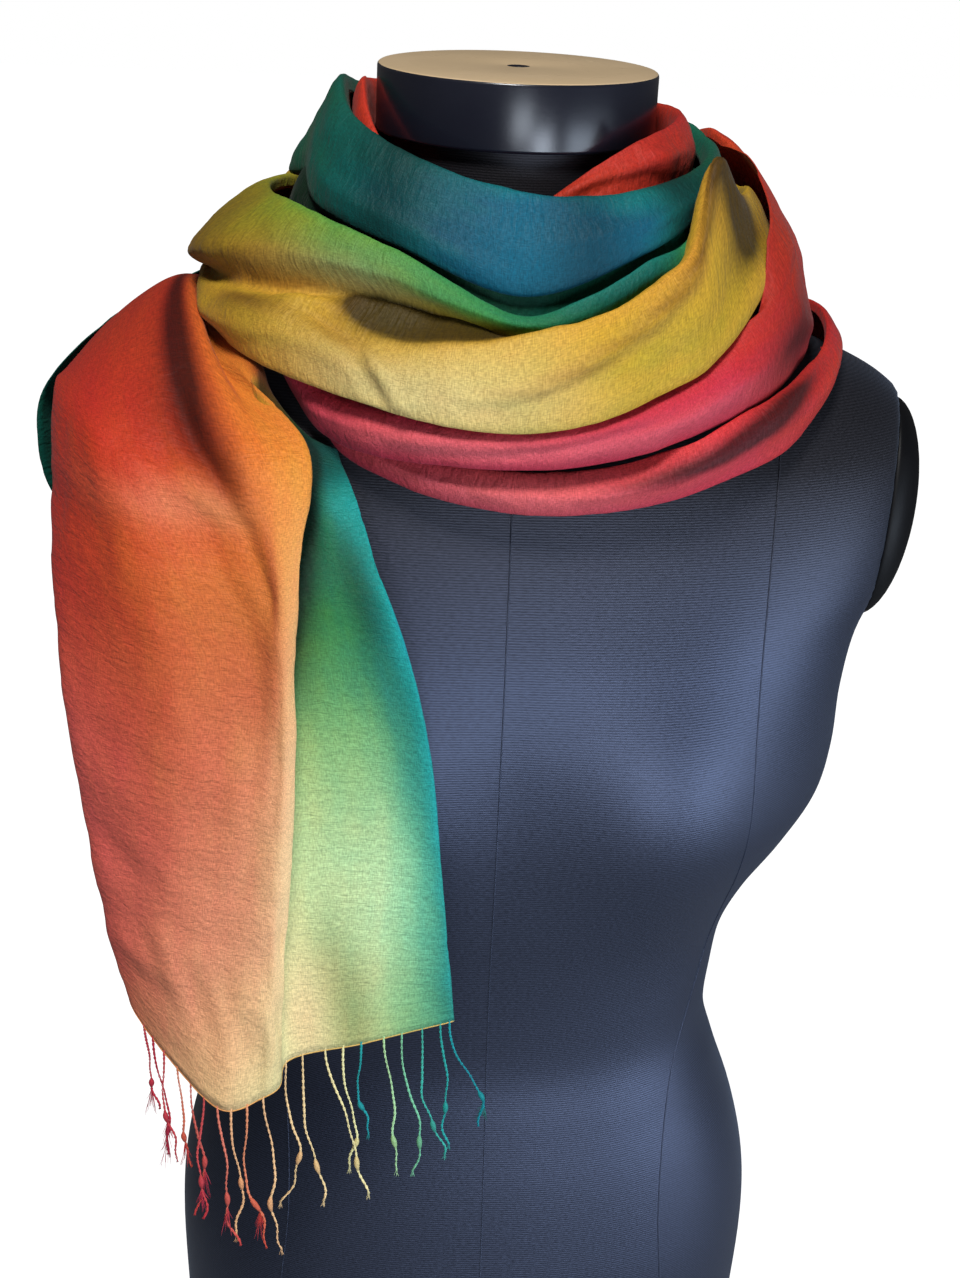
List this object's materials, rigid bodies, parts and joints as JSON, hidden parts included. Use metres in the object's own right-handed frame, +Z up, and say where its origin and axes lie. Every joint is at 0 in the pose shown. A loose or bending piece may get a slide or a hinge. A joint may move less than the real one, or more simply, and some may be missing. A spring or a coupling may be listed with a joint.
{
  "type": "shawl worn on a limbless dress form",
  "caption": "Long fringed woven shawl wound round the neck of a black limbless dress form, one end hanging in front and the other behind the same shoulder.",
  "frame": {"origin": "middle of the dress form's flat underside, straight below the neck", "axes": "+Z up along the form's neck, -Y towards the form's front, +X to the viewer's right"},
  "size_m": [0.4229, 0.293, 0.72],
  "materials": {
    "form_jersey": "fine ribbed stretch jersey, dull sheen",
    "cap_enamel": "satin black lacquer",
    "plate_enamel": "dull black",
    "shawl_cloth": "fine twill of silk and wool, dip-dyed in bands from red through orange, gold and green to teal",
    "fringe_yarn": "twisted and knotted yarn in the cloth's colours"
  },
  "bodies": {
    "root": {"dress_form": "form_jersey", "neck_cap": "cap_enamel", "arm_plate_left": "plate_enamel", "arm_plate_right": "plate_enamel", "shawl_inner_turn": "shawl_cloth", "shawl_teal_turn": "shawl_cloth", "shawl_gold_turn": "shawl_cloth", "shawl_crimson_turn": "shawl_cloth", "shawl_lower_turn": "shawl_cloth", "shawl_front_end": "shawl_cloth", "shawl_back_end": "shawl_cloth", "fringe_front": "fringe_yarn", "fringe_back": "fringe_yarn"}
  },
  "joints": []
}
